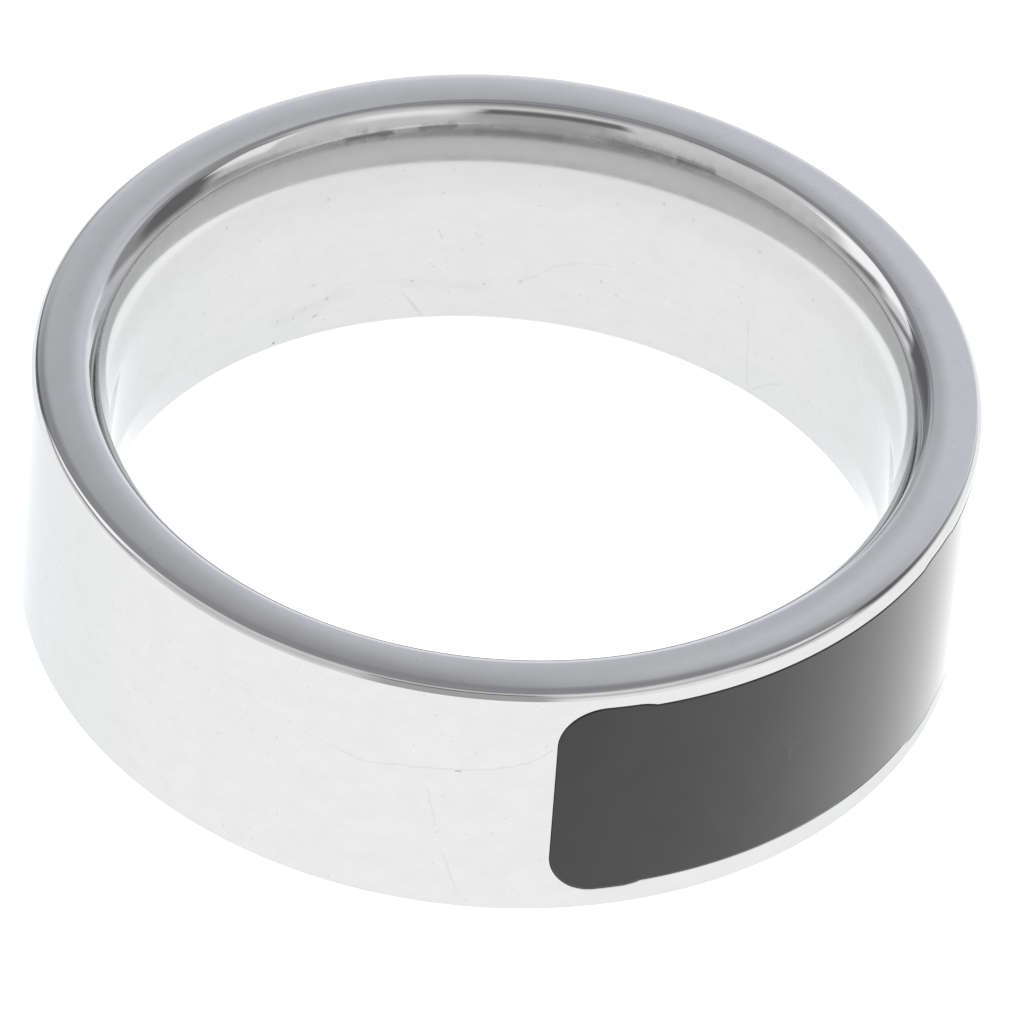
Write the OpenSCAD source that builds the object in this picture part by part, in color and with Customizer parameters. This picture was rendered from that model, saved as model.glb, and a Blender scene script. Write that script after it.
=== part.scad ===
// Smart ring: a steel band with a cast resin inlay let into its outside.
// The ring lies on its side, with its axis along +Z and its origin at the middle of the lower side face.
// Millimetres and degrees. Azimuth 0 is +X and -90 is the front, -Y.

/* [Band] */
// Outside diameter of the band
outer_d = 24; // [23.6:0.1:26]
// Diameter of the finger bore along its straight middle
bore_d = 19.8; // [18:0.1:20]
// Width of the band, from side face to side face
band_w = 7.35; // [7:0.05:8]
// Radius of the two outer edges
edge_r = 0.26; // [0.15:0.01:0.35]

/* [Comfort fit of the bore] */
// Radius of the doming beside the straight middle
dome_r = 5.3; // [4:0.1:5.6]
// Slope of the wall where the doming gives way to the shoulder
dome_slope = 22; // [18:1:23]
// Radius of the shoulder
shoulder_r = 1.7; // [1.4:0.1:1.8]
// Slope of the wall where the shoulder gives way to the lip
shoulder_slope = 42; // [38:1:45]
// Radius of the lip that runs out into the side face
lip_r = 0.48; // [0.3:0.02:0.5]

/* [Inlay] */
// Direction in which the middle of the inlay faces
inlay_azimuth = -22; // [-180:1:180]
// Angle that the inlay takes up round the band
inlay_angle = 116.1; // [90:0.1:160]
// Steel left below the inlay
rim_low = 0.83; // [0.6:0.01:1.2]
// Steel left above the inlay
rim_high = 0.6; // [0.5:0.01:1.2]
// Depth of the pocket that the inlay fills
pocket_depth = 1; // [0.6:0.05:1.1]
// Play between the inlay and its pocket
play = 0.03; // [0.02:0.01:0.05]

/* [Marks of the milling cutter] */
// Diameter of the cutter, which rounds the corners of the pocket
cutter_d = 2.4; // [2:0.1:3]
// How far each wider stretch goes past the long edges of the pocket
pad_rise = 0.09; // [0.05:0.01:0.15]
// Width of each wider stretch
pad_w = 3.2; // [3.1:0.1:5]

/* [Hidden] */
$fn = 144;
outer_r = outer_d / 2;
bore_r = bore_d / 2;
floor_r = outer_r - pocket_depth;
cutter_r = cutter_d / 2;
// A solid that is cut away, or that is trimmed later, runs on past the surface by this much
spare = 1;

// Each arc of the wall cuts across the one before it by this much
overlap = 0.01;
to_shoulder = (dome_r - shoulder_r + overlap) * [-cos(dome_slope), sin(dome_slope)];
to_lip = (shoulder_r - lip_r + overlap) * [-cos(shoulder_slope), sin(shoulder_slope)];

// Half of the bore's straight middle, left over by the three arcs that follow it
land_half = band_w / 2 - lip_r - to_shoulder.y - to_lip.y;

// Centres of the three arcs, as [radius, height above the middle of the band]
dome_c = [bore_r + dome_r, land_half];
shoulder_c = dome_c + to_shoulder;
lip_c = shoulder_c + to_lip;

// Directions of the wider stretches, one at each end of the inlay and one in its middle
end_turn = inlay_angle / 2 - asin(pad_w / 2 / outer_r);
pad_azimuths = [inlay_azimuth - end_turn, inlay_azimuth, inlay_azimuth + end_turn];

// Free space in front of an arc round c, from the wall slope on
module before_arc(c, r, slope) {
    reach = band_w;
    translate(c) difference() {
        polygon([[0, 0], [-reach * cos(slope), reach * sin(slope)], [-reach * cos(slope), reach], [0, reach]]);
        circle(r = r);
    }
}

// Upper half of the section of the finger hole
module half_hole_section() {
    square([bore_r, band_w]);
    before_arc(dome_c, dome_r, 0);
    before_arc(shoulder_c, shoulder_r, dome_slope);
    before_arc(lip_c, lip_r, shoulder_slope);
}

// Half of the outline of the barrel with its rounded edges, from the axis outwards
module barrel_section() {
    half_w = band_w / 2;
    translate([0, -half_w]) square([outer_r - edge_r, band_w]);
    translate([0, edge_r - half_w]) square([outer_r, band_w - 2 * edge_r]);
    for (side = [-1, 1])
        translate([outer_r - edge_r, side * (half_w - edge_r)]) circle(r = edge_r);
}

module band_section() {
    difference() {
        barrel_section();
        half_hole_section();
        mirror([0, 1]) half_hole_section();
    }
}

// The inlay's main stretch, thick enough to run past both faces of the wall
module main_stretch(z_low, z_high) {
    rotate([0, 0, inlay_azimuth - end_turn])
        rotate_extrude(angle = 2 * end_turn)
            translate([floor_r - spare, z_low]) square([pocket_depth + 2 * spare, z_high - z_low]);
}

// A wider stretch, cut straight in towards the axis, with the cutter's radius r at its corners
module pad(azimuth, r, z_low, z_high, w) {
    rotate([0, 0, azimuth]) translate([floor_r - spare, 0, 0])
        rotate([90, 0, 90]) linear_extrude(height = pocket_depth + 2 * spare) {
            translate([-w / 2, z_low + r]) square([w, z_high - z_low - 2 * r]);
            translate([r - w / 2, z_low]) square([w - 2 * r, z_high - z_low]);
            for (y = [r - w / 2, w / 2 - r], z = [z_low + r, z_high - r])
                translate([y, z]) circle(r = r);
        }
}

// The plan of the inlay, cut right through the wall. inset makes it smaller all round
module window(inset) {
    z_low = rim_low + inset;
    z_high = band_w - rim_high - inset;
    main_stretch(z_low, z_high);
    for (azimuth = pad_azimuths)
        pad(azimuth, cutter_r - inset, z_low - pad_rise, z_high + pad_rise, pad_w - 2 * inset);
}

module band() {
    color([0.82, 0.82, 0.83]) difference() {
        translate([0, 0, band_w / 2]) rotate_extrude() band_section();
        difference() {
            window(0);
            cylinder(r = floor_r, h = band_w);
        }
    }
}

module inlay() {
    color([0.2, 0.2, 0.2]) difference() {
        intersection() {
            window(play);
            cylinder(r = outer_r, h = band_w);
        }
        translate([0, 0, -spare]) cylinder(r = floor_r + play, h = band_w + 2 * spare);
    }
}

band();
inlay();
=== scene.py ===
import math

import bmesh
import bpy
from mathutils import Matrix, Vector


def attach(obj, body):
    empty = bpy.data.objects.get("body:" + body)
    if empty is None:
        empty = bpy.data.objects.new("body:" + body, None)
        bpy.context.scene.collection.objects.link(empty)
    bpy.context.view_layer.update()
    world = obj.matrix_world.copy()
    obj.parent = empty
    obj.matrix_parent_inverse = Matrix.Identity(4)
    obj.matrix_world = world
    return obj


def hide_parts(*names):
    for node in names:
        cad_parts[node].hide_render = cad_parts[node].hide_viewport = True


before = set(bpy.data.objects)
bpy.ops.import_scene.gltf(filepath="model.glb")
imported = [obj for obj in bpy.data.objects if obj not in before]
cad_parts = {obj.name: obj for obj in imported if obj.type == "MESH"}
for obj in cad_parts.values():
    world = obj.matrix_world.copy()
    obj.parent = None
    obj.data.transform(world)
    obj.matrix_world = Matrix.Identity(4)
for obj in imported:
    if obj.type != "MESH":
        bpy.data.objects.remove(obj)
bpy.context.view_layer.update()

# Camera
# The photograph was taken with a long lens, 330 mm from the ring and 41.5 degrees above the table. The camera
# was tipped sideways by 5.4 degrees. Lengths in this section are metres.
ring_middle = Vector((0, 0, 0.003675))
down = math.radians(41.4552)
roll = math.radians(5.3758)
distance = 0.330238

# How far the camera stands to the right and below, as shares of the distance
off_right = 0.00106
off_down = 0.00221

# Width of the photograph in pixels, the lens's focal length in the same pixels, and the film's width
photo_pixels = 1024
focal_pixels = 13024.6
film_mm = 36

ahead = Vector((0, math.cos(down), -math.sin(down)))
level = Vector((1, 0, 0))
upright = level.cross(ahead)
camera_right = level * math.cos(roll) + upright * math.sin(roll)
camera_up = upright * math.cos(roll) - level * math.sin(roll)
eye = ring_middle - distance * (ahead - off_right * camera_right + off_down * camera_up)
turned = Matrix((camera_right, camera_up, -ahead)).transposed().to_4x4()

camera_data = bpy.data.cameras.new("long_lens")
camera_data.sensor_width = film_mm
camera_data.lens = film_mm * focal_pixels / photo_pixels
camera_data.clip_start = 0.01
camera_data.clip_end = 20
camera = bpy.data.objects.new("long_lens", camera_data)
camera.matrix_world = Matrix.Translation(eye) @ turned
bpy.context.collection.objects.link(camera)
bpy.context.scene.camera = camera

# Steel band
# A ring of stainless steel, turned on a lathe with a domed comfort-fit bore and softened edges, then polished
# to a mirror. A pocket for the inlay is milled into its outside, with the cutter's wider stretches at both
# ends and halfway.

# All sizes are in millimetres, and each finished mesh is scaled to metres
WIDTH = 7.35
OUTER_R = 12
BORE_R = 9.9
POCKET_MIDDLE = math.radians(-22)
POCKET_HALF = OUTER_R * math.radians(116.1 / 2)
POCKET_LOW = 0.83
POCKET_HIGH = 6.75
POCKET_DEPTH = 1
POCKET_LIP = 0.04
CUTTER_R = 1.2
PAD_HALF = 1.6
PAD_RISE = 0.09
END_LEAN = 0.09

# Turn in degrees, radius and steps of each arc of the section, from the middle of the bore over a side face
# to the barrel. The face's slight crown has no radius here: it takes what the other arcs leave.
ARCS = ((10, 2.4, 6), (7, 12, 6), (19, 0.3, 10), (11, 1.8, 6), (40, 0.4, 28), (7, None, 6),
        (9, 1.3, 6), (30, 0.15, 8), (47, 0.35, 10))
slopes = [math.radians(sum(arc[0] for arc in ARCS[:k])) for k in range(len(ARCS) + 1)]
spreads = [math.cos(a) - math.cos(b) for a, b in zip(slopes, slopes[1:])]
taken = sum(spread * arc[1] for spread, arc in zip(spreads, ARCS) if arc[1])
crown_spread = [spread for spread, arc in zip(spreads, ARCS) if not arc[1]][0]
crown_r = (OUTER_R - BORE_R - taken) / crown_spread


def upper_section(bm):
    """Draws the upper half of the band's section at azimuth 0, arc after arc from the bore to the barrel, and
    gives the height at which the barrel begins, above the middle of the band."""
    last = bm.verts.new((BORE_R, 0, 0))
    for (turn, radius, steps), slope in zip(ARCS, slopes):
        radius = radius or crown_r
        facing = Vector((-math.cos(slope), 0, math.sin(slope)))
        drawn = bmesh.ops.spin(bm, geom=[last], cent=last.co - radius * facing, axis=(0, 1, 0),
                               angle=math.radians(turn), steps=steps)
        last = [part for part in drawn["geom_last"] if isinstance(part, bmesh.types.BMVert)][0]

    # The arcs end on the barrel but for rounding
    last.co.x = OUTER_R
    highest = max(v.co.z for v in bm.verts)
    bmesh.ops.translate(bm, verts=bm.verts[:], vec=(0, 0, WIDTH / 2 - highest))
    return last.co.z


def pocket_plan(bm, inset):
    """Draws the pocket's plan, laid out flat round its middle, as one face. inset makes it smaller."""
    cutter = CUTTER_R - inset
    pad_turn = math.acos(1 - PAD_RISE / cutter)
    flat = PAD_HALF - CUTTER_R
    knee = flat + cutter * math.tan(pad_turn / 2)
    step = flat + cutter * math.sin(pad_turn)
    end = POCKET_HALF - inset
    last_pad = POCKET_HALF - PAD_HALF
    low = POCKET_LOW + inset
    high = POCKET_HIGH - inset
    right_side = [
        (step, low), (last_pad - step, low), (last_pad - knee, low - PAD_RISE), (end, low - PAD_RISE),
        (end, high + PAD_RISE), (last_pad - knee, high + PAD_RISE), (last_pad - step, high), (step, high)]
    left_side = [(-x, y) for x, y in reversed(right_side)]
    left_side[4] = (-end + END_LEAN, low - PAD_RISE)
    outline = right_side + [(knee, high + PAD_RISE), (-knee, high + PAD_RISE)]
    outline += left_side + [(-knee, low - PAD_RISE), (knee, low - PAD_RISE)]
    verts = [bm.verts.new((x, y, 0)) for x, y in outline]
    bm.faces.new(verts)
    corners = [v for v in verts if abs(v.co.x) > last_pad]
    knees = [v for v in verts if v not in corners and not low - 1e-5 < v.co.y < high + 1e-5]
    bmesh.ops.bevel(bm, geom=knees, offset=cutter * math.tan(pad_turn / 2), offset_type="OFFSET", segments=6,
                    profile=0.5, affect="VERTICES", material=-1)
    bmesh.ops.bevel(bm, geom=corners, offset=cutter, offset_type="OFFSET", segments=20, profile=0.5,
                    affect="VERTICES", material=-1)
    return max(bm.faces, key=lambda f: len(f.verts))


def round_over(bm, face, radius, sink):
    """Carries a flat face on round a small edge of the given radius, sinking into it or rising out of it."""
    turns = [math.radians(30 * k) for k in range(4)]
    for a, b in zip(turns, turns[1:]):
        drop = radius * (math.cos(a) - math.cos(b))
        run = radius * (math.sin(b) - math.sin(a))
        if sink:
            bmesh.ops.inset_individual(bm, faces=[face], thickness=run, depth=-drop, use_even_offset=True)
        else:
            bmesh.ops.inset_individual(bm, faces=[face], thickness=drop, depth=run, use_even_offset=True)


def wrap_round(bm):
    """Cuts a flat layout at every degree and bends it round the ring."""
    for degree in range(-179, 180):
        bmesh.ops.bisect_plane(bm, geom=bm.verts[:] + bm.edges[:] + bm.faces[:], dist=1e-6,
                               plane_co=(OUTER_R * math.radians(degree), 0, 0), plane_no=(1, 0, 0))
    for v in bm.verts:
        azimuth = POCKET_MIDDLE + v.co.x / OUTER_R
        radius = OUTER_R + v.co.z
        v.co = (radius * math.cos(azimuth), radius * math.sin(azimuth), v.co.y)


def finish_piece(name, bm):
    """Makes the object, in metres, of a piece whose outside follows the barrel exactly."""
    bmesh.ops.remove_doubles(bm, verts=bm.verts[:], dist=2e-4)
    bmesh.ops.recalc_face_normals(bm, faces=bm.faces[:])
    bmesh.ops.scale(bm, verts=bm.verts[:], vec=(0.001, 0.001, 0.001))
    for face in bm.faces:
        face.smooth = True
    mesh = bpy.data.meshes.new(name)
    bm.to_mesh(mesh)
    bm.free()
    mesh.set_sharp_from_angle(angle=math.radians(40))

    # On the barrel a vertex faces straight outwards, and a vector of no length leaves the others as they are
    facing = []
    for v in mesh.vertices:
        outwards = Vector((v.co.x, v.co.y, 0))
        on_outside = abs(outwards.length * 1000 - OUTER_R) < 1e-4
        facing.append(outwards.normalized() if on_outside else Vector())
    mesh.normals_split_custom_set_from_vertices(facing)
    piece = bpy.data.objects.new(name, mesh)
    bpy.context.collection.objects.link(piece)
    return piece


# The section is mirrored to its lower half and spun round the axis, all but the barrel
band_bm = bmesh.new()
strip_half = upper_section(band_bm)
bmesh.ops.mirror(band_bm, geom=band_bm.verts[:] + band_bm.edges[:], axis="Z")
land_ends = [v for v in band_bm.verts if abs(v.co.x - BORE_R) < 1e-5]
band_bm.edges.new(land_ends)
bmesh.ops.translate(band_bm, verts=band_bm.verts[:], vec=(0, 0, WIDTH / 2))
bmesh.ops.spin(band_bm, geom=band_bm.verts[:] + band_bm.edges[:], cent=(0, 0, 0), axis=(0, 0, 1),
               angle=2 * math.pi, steps=360, use_merge=True)

# The barrel is laid out flat as a strip round the pocket's plan, and the pocket is sunk into it before it is
# wrapped round
strip_bm = bmesh.new()
pocket_face = pocket_plan(strip_bm, -POCKET_LIP)
outline = list(pocket_face.edges)
reach = math.pi * OUTER_R
corners = [strip_bm.verts.new((x, WIDTH / 2 + y, 0)) for x, y in
           ((-reach, -strip_half), (reach, -strip_half), (reach, strip_half), (-reach, strip_half))]
border = [strip_bm.edges.new((corners[k - 1], corners[k])) for k in range(4)]
for corner in (corners[0], corners[2]):
    nearest = min(pocket_face.verts, key=lambda v: (v.co - corner.co).length)
    border.append(strip_bm.edges.new((corner, nearest)))
filled = bmesh.ops.edgenet_fill(strip_bm, edges=border + outline)

# The fill also closes the four corners with a face of their own, which goes again
lids = [face for face in filled["faces"] if len(face.verts) == 4]
bmesh.ops.delete(strip_bm, geom=lids, context="FACES_ONLY")
round_over(strip_bm, pocket_face, POCKET_LIP, sink=True)
bmesh.ops.inset_individual(strip_bm, faces=[pocket_face], thickness=0, depth=POCKET_LIP - POCKET_DEPTH)
wrap_round(strip_bm)
strip_mesh = bpy.data.meshes.new("strip")
strip_bm.to_mesh(strip_mesh)
strip_bm.free()
band_bm.from_mesh(strip_mesh)
bpy.data.meshes.remove(strip_mesh)
band = finish_piece("steel_band", band_bm)


def linear(hex_colour):
    """The linear colour of an sRGB hex value."""
    parts = [int(hex_colour[k:k + 2], 16) / 255 for k in (0, 2, 4)]
    return [p / 12.92 if p <= 0.04045 else ((p + 0.055) / 1.055) ** 2.4 for p in parts] + [1]


def add(tree, kind, inputs=(), **settings):
    """Adds a node with its settings. inputs holds what its sockets get, as a list in their order or as a dict
    by their number or name: a value, another node's output, or a node, which stands for its first output."""
    node = tree.nodes.new(kind)
    for name, value in settings.items():
        setattr(node, name, value)
    sockets = inputs.items() if isinstance(inputs, dict) else enumerate(inputs)
    for socket, value in sockets:
        if isinstance(value, bpy.types.Node):
            value = value.outputs[0]
        if isinstance(value, bpy.types.NodeSocket):
            tree.links.new(value, node.inputs[socket])
        else:
            node.inputs[socket].default_value = value
    return node


def radial(tree):
    """The surface in millimetres as mesh space, and its radius, azimuth and height."""
    place = add(tree, "ShaderNodeTexCoord")
    metric = add(tree, "ShaderNodeVectorMath", {0: place.outputs["Object"], "Scale": 1000}, operation="SCALE")
    parts = add(tree, "ShaderNodeSeparateXYZ", [metric])
    sideways = add(tree, "ShaderNodeCombineXYZ", [parts.outputs["X"], parts.outputs["Y"]])
    radius = add(tree, "ShaderNodeVectorMath", [sideways], operation="LENGTH")
    azimuth = add(tree, "ShaderNodeMath", [parts.outputs["Y"], parts.outputs["X"]], operation="ARCTAN2")
    return metric, radius.outputs["Value"], azimuth, parts.outputs["Z"]


# Millimetres from bend to bend of a scratch, 17 of them on 10 mm, and from one thin stretch to the next
BEND_GAP = 10 / 17
THIN_GAP = 1 / 3


def laid_flat(tree, azimuth, height, at_radius, waver):
    """The surface unrolled at a radius, with its lines wavering by at most half of waver either way, and how
    fast the marks on it end beside their lines, which differs from place to place."""
    along = add(tree, "ShaderNodeMath", [azimuth, at_radius], operation="MULTIPLY")
    even = add(tree, "ShaderNodeCombineXYZ", [along, height])
    bends = add(tree, "ShaderNodeTexNoise", {"Vector": even, "Scale": 1 / BEND_GAP, "Detail": 3})
    shift = add(tree, "ShaderNodeVectorMath",
                [bends.outputs["Color"], (waver, waver, 0), (-waver / 2, -waver / 2, 0)],
                operation="MULTIPLY_ADD")
    flat = add(tree, "ShaderNodeVectorMath", [even, shift], operation="ADD")
    thins = add(tree, "ShaderNodeTexNoise", {"Vector": even, "Scale": 1 / THIN_GAP, "Detail": 2})
    ending = add(tree, "ShaderNodeMapRange", [thins, 0.35, 0.65, 0.7, 1.5], interpolation_type="SMOOTHSTEP")
    return flat, ending


def marks(tree, surface, at_radius, strokes, half_wide, left_over):
    """Scratches, spots and strokes of painted shade on a surface that is laid flat: left_over on their lines
    and
    1 beside them. Each stroke is a list of points, as azimuth in degrees and height in millimetres, and a
    single point is a spot."""
    flat, ending = surface
    nearest = None
    for points in strokes:
        spots = [Vector((math.radians(turn) * at_radius, rise, 0)) for turn, rise in points]
        for start, end in zip(spots, spots[1:] or spots):
            off = add(tree, "ShaderNodeVectorMath", [flat, start], operation="SUBTRACT")
            run = end - start
            if run.length:
                share = add(tree, "ShaderNodeVectorMath", [off, run / run.length_squared],
                            operation="DOT_PRODUCT")
                held = add(tree, "ShaderNodeClamp", [share.outputs["Value"]])
                foot = add(tree, "ShaderNodeVectorMath", {0: run, "Scale": held}, operation="SCALE")
                off = add(tree, "ShaderNodeVectorMath", [off, foot], operation="SUBTRACT")
            away = add(tree, "ShaderNodeVectorMath", [off], operation="LENGTH").outputs["Value"]
            if nearest:
                away = add(tree, "ShaderNodeMath", [away, nearest], operation="MINIMUM")
            nearest = away
    reach = add(tree, "ShaderNodeMath", [nearest, ending], operation="MULTIPLY")
    return add(tree, "ShaderNodeMapRange", [reach, 0, half_wide, left_over, 1],
               interpolation_type="SMOOTHSTEP")


# Mirror-polished stainless steel: a grey mirror, a little duller in the bore than outside, and satin in the
# bore's crease, which the wheel doesn't reach. Fine specks and clouds of handling dull it, and a few
# scratches show. Soft strokes of painted shade darken the bore's upper crease, and painted shade and a
# painted glow change the bore's brightness by height.

# Radius of the crease in millimetres
CREASE_R = 10.3

# Sizes of the patterns in millimetres: 13 clouds and 28 specks lie along 10 mm, and 11 patches along 20 mm
CLOUD_SIZE = 10 / 13
SPECK_GAP = 10 / 28
PATCH_SIZE = 20 / 11

# Roughness where the polish is best and worst, and what the bore and its crease add to it
BEST_POLISH = 0.03
WORST_POLISH = 0.06
BORE_ADDS = 0.025
CREASE_ADDS = 0.2

steel = bpy.data.materials.new("mirror_polished_stainless_steel")
steel.use_nodes = True
tree = steel.node_tree
tree.nodes.clear()
metric, radius, azimuth, height = radial(tree)

# Each part of the surface, as 1 in it and 0 outside it
in_bore = add(tree, "ShaderNodeMapRange", [radius, CREASE_R, CREASE_R + 0.06, 1, 0],
              interpolation_type="SMOOTHSTEP")
below_crease = add(tree, "ShaderNodeMapRange", [radius, CREASE_R, CREASE_R + 0.1, 1, 0],
                   interpolation_type="SMOOTHSTEP")
past_taper = add(tree, "ShaderNodeMapRange", [radius, CREASE_R - 0.1, CREASE_R - 0.02, 0, 1],
                 interpolation_type="SMOOTHSTEP")
before_lip = add(tree, "ShaderNodeMapRange", [radius, CREASE_R + 0.04, CREASE_R + 0.12, 1, 0],
                 interpolation_type="SMOOTHSTEP")
in_crease = add(tree, "ShaderNodeMath", [past_taper, before_lip], operation="MULTIPLY")
inside_lip = add(tree, "ShaderNodeMapRange", [radius, CREASE_R + 0.3, CREASE_R + 0.4, 1, 0],
                 interpolation_type="SMOOTHSTEP")
on_barrel = add(tree, "ShaderNodeMapRange", [radius, OUTER_R - 0.2, OUTER_R - 0.05, 0, 1],
                interpolation_type="SMOOTHSTEP")
in_upper_half = add(tree, "ShaderNodeMapRange", [height, WIDTH / 2 - 0.075, WIDTH / 2 + 0.025, 0, 1],
                    interpolation_type="SMOOTHSTEP")

# Clouds drawn out along the band, and fine specks that gather in some places
drawn_out = add(tree, "ShaderNodeVectorMath", [metric, (1, 1, 1.7)], operation="MULTIPLY")
clouds = add(tree, "ShaderNodeTexNoise",
             {"Vector": drawn_out, "Scale": 1 / CLOUD_SIZE, "Detail": 5, "Roughness": 0.7})
haze = add(tree, "ShaderNodeMapRange", [clouds, 0.35, 0.65, 0.978, 1.01], interpolation_type="SMOOTHSTEP")
cells = add(tree, "ShaderNodeTexVoronoi", {"Vector": metric, "Scale": 1 / SPECK_GAP})
dots = add(tree, "ShaderNodeMapRange", [cells, 0.03, 0.15, 0.86, 1], interpolation_type="SMOOTHSTEP")
patches = add(tree, "ShaderNodeTexNoise", {"Vector": metric, "Scale": 1 / PATCH_SIZE, "Detail": 2})
gathered = add(tree, "ShaderNodeMapRange", [patches, 0.4, 0.62, 0.15, 1], interpolation_type="SMOOTHSTEP")
specks = add(tree, "ShaderNodeMix", {0: gathered, 2: 1, 3: dots})
wear_and_painted_light = add(tree, "ShaderNodeMath", [haze, specks], operation="MULTIPLY")

# Painted shade and a painted glow in the bore: its land is painted darker towards its edge, the taper beyond
# it painted brighter next to that edge, and darker again higher up. Bottom and top of each change, and the
# painted brightness at both
for change in ((4.4, 5.7, 1, 0.94), (5.9, 6.2, 1, 1.15), (6.25, 6.85, 1, 0.89)):
    painted_glow_and_shade = add(tree, "ShaderNodeMapRange", [height, *change], interpolation_type="SMOOTHSTEP")
    only_there = add(tree, "ShaderNodeMix", {0: below_crease, 2: 1, 3: painted_glow_and_shade})
    wear_and_painted_light = add(tree, "ShaderNodeMath", [wear_and_painted_light, only_there], operation="MULTIPLY")

# Marks by the width on either side of their line, what they leave of the shine, and their strokes
BARREL_MARKS = (
    (0.035, 0.955, [((-122, 5.7), (-116, 5.2), (-109, 4.8), (-103, 4.5))]),
    (0.04, 0.9, [((-106, 4.65), (-103, 4.5), (-99.5, 4.6), (-93.5, 4.7), (-87, 4.9), (-83.5, 5.1),
                  (-80.5, 5.5))]),
    (0.04, 0.91, [((-95, 4.05), (-94, 3.35), (-93.5, 2.8)), ((-92.5, 2), (-91.5, 1.35), (-90, 0.5))]),
    (0.035, 0.95, [((-147, 6.6), (-152, 4.85), (-156.5, 3.35), (-164.5, 1.35))]),
    (0.055, 0.55, [((-91.7, 4.7), (-91.2, 4.7))]),
    (0.07, 0.7, [((-130, 5.55),)]),
    (0.06, 0.88, [((-118, 4.7),), ((-92.5, 5.65),), ((-89.5, 5.35),), ((-83.5, 3.95),), ((-85.5, 3.25),)]),
    (1.6, 0.985, [((-141, 2.4), (-137, 0.8))]))
BORE_MARKS = (
    (0.12, 0.35, [((127, 0.55),)]),
    (0.09, 0.76, [((127.5, 1.55),), ((124.5, 1.4),), ((121, 1.25),), ((119.5, 1.85),), ((119, 0.95),),
                  ((106, 2),), ((95, 1.8),)]),
    (0.07, 0.82, [((123, 1.7),), ((122, 2.5),), ((120.5, 5.3),), ((139, 5.7),), ((132.5, 4.75),),
                  ((102.5, 4.9),), ((100, 1.45),), ((89.5, 1.95),), ((88, 4.65),), ((88, 5.3),),
                  ((77.5, 2.45),), ((76, 5.15),), ((75, 2.1),), ((69, 5.55),), ((64, 5.45),),
                  ((52, 5.5),), ((40, 5.3),)]),
    (0.05, 0.87, [((102.5, 3.7), (102, 3.4)), ((97, 3.55), (96.8, 3.5)), ((107, 1.5), (103.5, 0.4))]),
    (0.05, 0.92, [((52.5, 3.1), (52, 2), (52.5, 0.5)), ((52.5, 0.45), (49, 1.2), (45, 1.8))]),
    (0.05, 0.94, [((163.5, 4.1), (160, 3.1), (152.5, 2.3)),
                  ((89.5, 1.95), (85, 2.6), (81.5, 2.9), (76, 3.05))]),
    (0.55, 0.95, [((127, 1.5), (117, 1.9))]),
    (0.4, 0.965, [((107, 1.9), (95, 1.7)), ((70, 4.1), (69, 3.8))]))

# The upper side face's marks have the radius in place of the height
FACE_MARKS = (
    (0.04, 0.88, [((64.5, 11.1), (63, 11.65))]),)

# Painted shade in the bore's upper crease, under the lip, as soft dark strokes
CREASE_PAINTED_SHADE = (
    (0.25, 0.86, [((140, 6.93), (133, 6.93), (118, 6.88), (111, 6.9)), ((80, 6.92), (60, 6.94), (42, 6.95))]),
    (0.16, 0.55, [((117, 6.87), (110.5, 6.84))]),
    (0.12, 0.62, [((106, 6.86), (103.5, 6.89), (101, 6.88))]),
    (0.18, 0.82, [((98, 6.75), (86, 6.7))]),
    (0.2, 0.76, [((78, 6.88), (69, 6.88))]),
    (0.14, 0.55, [((68, 6.91), (62.5, 6.93))]))

# Where each table's marks are, what runs across them, the radius to unroll them at, and how much they waver
for place, across, at_radius, table, waver in (
        (on_barrel, height, OUTER_R, BARREL_MARKS, 0.2),
        (inside_lip, height, BORE_R, BORE_MARKS, 0.2),
        # painted shade along the bore's upper crease
        (inside_lip, height, BORE_R, CREASE_PAINTED_SHADE, 0.02),
        (in_upper_half, radius, 11.3, FACE_MARKS, 0.1)):
    surface = laid_flat(tree, azimuth, across, at_radius, waver)
    left = None
    for half_wide, left_over, strokes in table:
        drawn = marks(tree, surface, at_radius, strokes, half_wide, left_over)
        left = add(tree, "ShaderNodeMath", [left, drawn], operation="MULTIPLY") if left else drawn
    only_there = add(tree, "ShaderNodeMix", {0: place, 2: 1, 3: left})
    wear_and_painted_light = add(tree, "ShaderNodeMath", [wear_and_painted_light, only_there], operation="MULTIPLY")

tint = add(tree, "ShaderNodeMix", {0: in_bore, 6: linear("c8c8c8"), 7: linear("c3c3c3")}, data_type="RGBA")
# The steel's colour, dulled by handling and scratches, darkened by painted shade and brightened by a painted
# glow
colour = add(tree, "ShaderNodeVectorMath", {0: tint.outputs[2], "Scale": wear_and_painted_light}, operation="SCALE")
polish = add(tree, "ShaderNodeMapRange", [clouds, 0.3, 0.75, BEST_POLISH, WORST_POLISH],
             interpolation_type="SMOOTHSTEP")
hazier = add(tree, "ShaderNodeMath", [in_bore, BORE_ADDS, polish], operation="MULTIPLY_ADD")
satin = add(tree, "ShaderNodeMath", [in_crease, CREASE_ADDS, hazier], operation="MULTIPLY_ADD")
metal = add(tree, "ShaderNodeBsdfPrincipled", {
    "Base Color": colour, "Metallic": 1, "Roughness": satin, "Specular Tint": linear("e9eced")})
add(tree, "ShaderNodeOutputMaterial", [metal])
band.data.materials.append(steel)
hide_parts("band")
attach(band, "root")

# Resin inlay
# Dark epoxy resin cast over the chip and its aerial, ground flush with the steel and polished. It fills the
# pocket, and its rim is very slightly rounded where the polishing wheel ran over it.
RESIN_GAP = 0.003
RESIN_RIM = 0.05
RESIN_DEEP = 0.97

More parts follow.
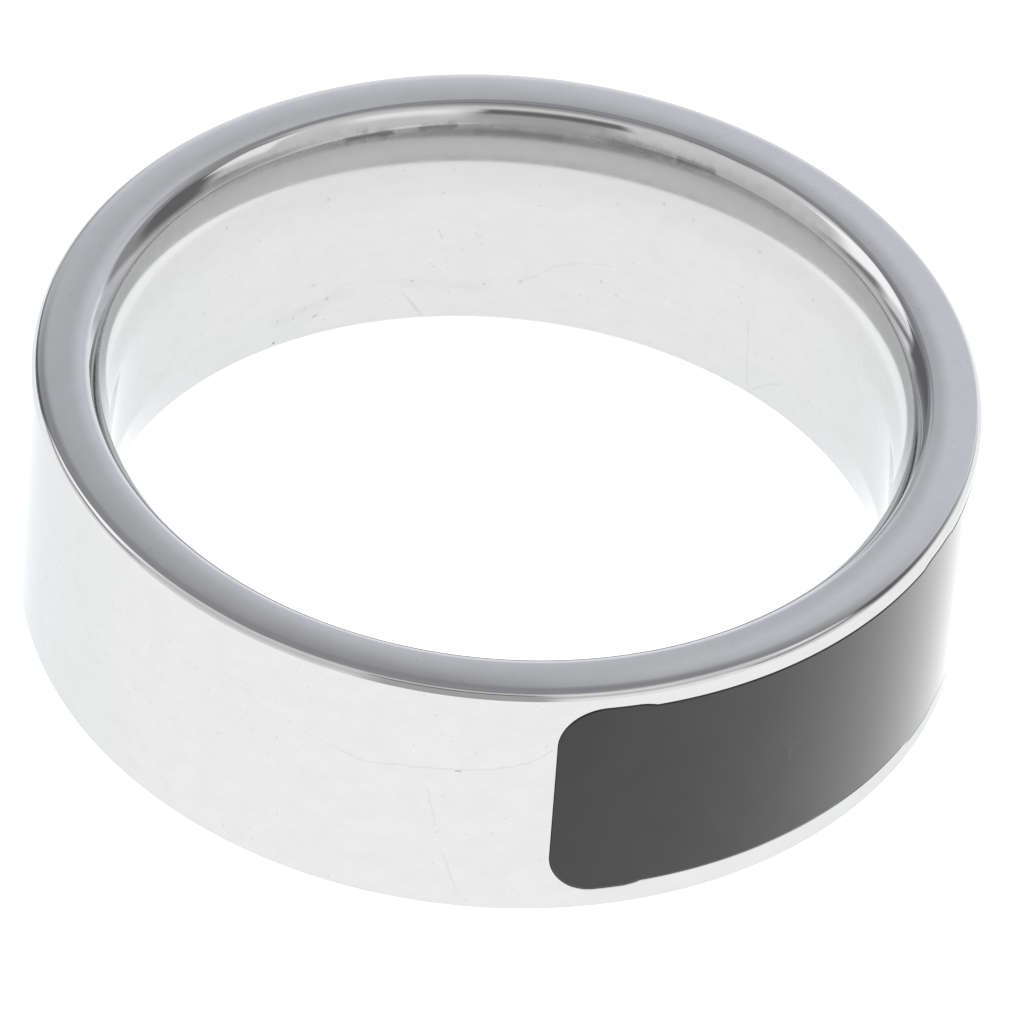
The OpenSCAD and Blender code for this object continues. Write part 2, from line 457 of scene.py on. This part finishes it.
inlay_bm = bmesh.new()
inlay_face = pocket_plan(inlay_bm, RESIN_GAP)
bmesh.ops.translate(inlay_bm, verts=inlay_bm.verts[:], vec=(0, 0, -RESIN_DEEP))
raised = bmesh.ops.extrude_face_region(inlay_bm, geom=[inlay_face], use_keep_orig=True)
raised_face = [part for part in raised["geom"] if isinstance(part, bmesh.types.BMFace)][0]
bmesh.ops.translate(inlay_bm, verts=list(raised_face.verts), vec=(0, 0, RESIN_DEEP - RESIN_RIM))
round_over(inlay_bm, raised_face, RESIN_RIM, sink=False)
wrap_round(inlay_bm)
inlay = finish_piece("resin_inlay", inlay_bm)

# Cast epoxy resin, polished: a deep grey-black gloss that turns into a pale mirror towards its grazing end,
# with one small pale scratch.

# Size of its faint clouds in millimetres
RESIN_CLOUD_SIZE = 2

resin = bpy.data.materials.new("polished_dark_cast_epoxy")
resin.use_nodes = True
tree = resin.node_tree
tree.nodes.clear()
metric, radius, azimuth, height = radial(tree)
clouds = add(tree, "ShaderNodeTexNoise",
             {"Vector": metric, "Scale": 1 / RESIN_CLOUD_SIZE, "Detail": 4, "Roughness": 0.6})
paler = add(tree, "ShaderNodeMapRange", [clouds, 0.35, 0.65, 0, 1], interpolation_type="SMOOTHSTEP")
tint = add(tree, "ShaderNodeMix", {0: paler, 6: linear("030303"), 7: linear("131313")}, data_type="RGBA")
surface = laid_flat(tree, azimuth, height, OUTER_R, 0.05)
unscratched = marks(tree, surface, OUTER_R, [((-49, 3.43), (-49.2, 3.86), (-48.5, 3.92), (-47.7, 3.9))],
                    0.04, 0)
scraped = add(tree, "ShaderNodeMix", {0: unscratched, 6: linear("323232"), 7: tint.outputs[2]},
              data_type="RGBA")
gloss = add(tree, "ShaderNodeBsdfPrincipled", {
    "Base Color": scraped.outputs[2], "Roughness": 0.05, "IOR": 1.33, "Coat Weight": 1, "Coat IOR": 1.31,
    "Coat Roughness": 0.03})
add(tree, "ShaderNodeOutputMaterial", [gloss])
inlay.data.materials.append(resin)
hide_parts("inlay")
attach(inlay, "root")

# Light table and studio
# The ring lies on a lit white table, which shines evenly from below, so it throws no shadow. The studio round
# it is grey, with bright screens to the left and the right and darker things between them.

# Radius of the table in metres, and how brightly it shines
TABLE_R = 3
TABLE_GLOW = 1.45

table_bm = bmesh.new()
bmesh.ops.create_circle(table_bm, cap_ends=True, cap_tris=False, segments=96, radius=TABLE_R)
table_mesh = bpy.data.meshes.new("light_table")
table_bm.to_mesh(table_mesh)
table_bm.free()
table = bpy.data.objects.new("light_table", table_mesh)
bpy.context.collection.objects.link(table)

# Lit white acrylic, frosted behind: an even white light without a shine of its own
glow = bpy.data.materials.new("lit_white_acrylic")
glow.use_nodes = True
tree = glow.node_tree
tree.nodes.clear()
acrylic = add(tree, "ShaderNodeEmission", {"Color": linear("ffffff"), "Strength": TABLE_GLOW})
add(tree, "ShaderNodeOutputMaterial", [acrylic])
table.data.materials.append(glow)

studio = bpy.data.worlds.new("studio")
bpy.context.scene.world = studio
studio.use_nodes = True
tree = studio.node_tree
tree.nodes.clear()
towards = add(tree, "ShaderNodeTexCoord")
parts = add(tree, "ShaderNodeSeparateXYZ", [towards.outputs["Generated"]])
rise = add(tree, "ShaderNodeMath", [parts.outputs["Z"]], operation="ARCSINE")
front = add(tree, "ShaderNodeMath", [parts.outputs["Y"], -1], operation="MULTIPLY")
side = add(tree, "ShaderNodeMath", [parts.outputs["X"], front], operation="ARCTAN2")


def curve(value, points):
    """The brightness at each angle in degrees, as a smooth line through the points."""
    low, high = points[0][0], points[-1][0]
    spread = add(tree, "ShaderNodeMapRange", [value, math.radians(low), math.radians(high)])

    # The curve's node goes no higher than 1, so it holds half the brightness
    half = add(tree, "ShaderNodeFloatCurve", {"Value": spread})
    line = half.mapping.curves[0]
    while len(line.points) < len(points):
        line.points.new(0.5, 0.5)
    for point, (angle, brightness) in zip(line.points, points):
        point.location = ((angle - low) / (high - low), brightness / 2)
    half.mapping.update()
    return add(tree, "ShaderNodeMath", [half, 2], operation="MULTIPLY")


def panel(middle, half_wide, soft, bottom, top, soft_up):
    """1 inside a panel on the studio's wall, given in degrees, and 0 outside, with soft edges."""
    off = add(tree, "ShaderNodeMath", [side, math.radians(middle)], operation="SUBTRACT")
    round_back = add(tree, "ShaderNodeMath", [off, -math.pi, math.pi], operation="WRAP")
    aside = add(tree, "ShaderNodeMath", [round_back], operation="ABSOLUTE")
    wide = add(tree, "ShaderNodeMapRange",
               [aside, math.radians(half_wide - soft), math.radians(half_wide), 1, 0],
               interpolation_type="SMOOTHSTEP")
    half_tall = (top - bottom) / 2
    over = add(tree, "ShaderNodeMath", [rise, math.radians((bottom + top) / 2)], operation="SUBTRACT")
    above = add(tree, "ShaderNodeMath", [over], operation="ABSOLUTE")
    tall = add(tree, "ShaderNodeMapRange",
               [above, math.radians(half_tall - soft_up), math.radians(half_tall), 1, 0],
               interpolation_type="SMOOTHSTEP")
    return add(tree, "ShaderNodeMath", [wide, tall], operation="MULTIPLY")


in_front = curve(rise, ((-90, 1.2), (0, 1.1), (10, 1.05), (20, 0.95), (30, 0.85), (40, 0.9), (50, 0.95),
                        (60, 0.94), (70, 0.78), (80, 0.52), (90, 0.45)))
behind = curve(rise, ((-90, 1.2), (0, 1.33), (15, 1.26), (25, 1.08), (35, 0.84), (40, 0.72), (45, 0.6),
                      (50, 0.48), (57, 0.41), (65, 0.42), (72, 0.46), (80, 0.32), (90, 0.4)))
turned_away = add(tree, "ShaderNodeMath", [side], operation="ABSOLUTE")
at_back = add(tree, "ShaderNodeMapRange", [turned_away, math.radians(105), math.radians(135)],
              interpolation_type="SMOOTHSTEP")
light = add(tree, "ShaderNodeMix", {0: at_back, 2: in_front, 3: behind})

# What stands in the studio: middle, half width, soft edge, bottom, top, soft edge and brightness, with the
# angles in degrees
PANELS = (
    (154, 28, 6, 15, 60.5, 22.5, 0.91),
    (-157, 12, 8, 2, 36, 10, 0.62),
    (-158, 14, 12, 28, 68, 14, 0.42),
    (-105, 26, 10, 42, 66, 12, 1),
    (-138, 15, 6, -6, 56, 8, 0.34),
    (-110, 23, 12, 18, 52, 5, 1.55),
    (-114, 12, 6, 7, 16, 4, 0.34),
    (-95, 16, 8, 12, 25, 5, 0.33),
    (-131, 11, 4, 0, 34, 8, 0.19),
    (-114, 26, 10, 62, 80, 6, 0.36),
    (-3, 26, 10, -2, 50, 4, 0.58),
    (-7, 25, 6, 42, 55, 5, 0.22),
    (38, 22, 12, 40, 56, 8, 1.3),
    (42, 30, 12, -8, 27, 8, 1.27),
    (75, 19, 8, 14, 28, 4, 0.45),
    (110, 24, 10, 5, 66, 8, 0.43),
    (128, 14, 8, -8, 14, 6, 0.8),
    (102, 15, 8, 10, 47, 8, 0.2),
    (85, 12, 3, 31, 55, 6, 1.3))
for *extent, brightness in PANELS:
    light = add(tree, "ShaderNodeMix", {0: panel(*extent), 2: light, 3: brightness})

# The camera itself sees plain white round the table, and the back of the studio is a little bluer
seen = add(tree, "ShaderNodeLightPath").outputs["Is Camera Ray"]
light = add(tree, "ShaderNodeMix", {0: seen, 2: light, 3: 1})
white = (1, 1, 1, 1)
bluer = (0.975, 0.985, 1.045, 1)
cool = add(tree, "ShaderNodeMix", {0: at_back, 6: white, 7: bluer}, data_type="RGBA")
neutral = add(tree, "ShaderNodeMix", {0: seen, 6: cool.outputs[2], 7: white}, data_type="RGBA")
sky = add(tree, "ShaderNodeBackground", {"Color": neutral.outputs[2], "Strength": light})
add(tree, "ShaderNodeOutputWorld", [sky])

bpy.context.scene.view_settings.view_transform = "Standard"
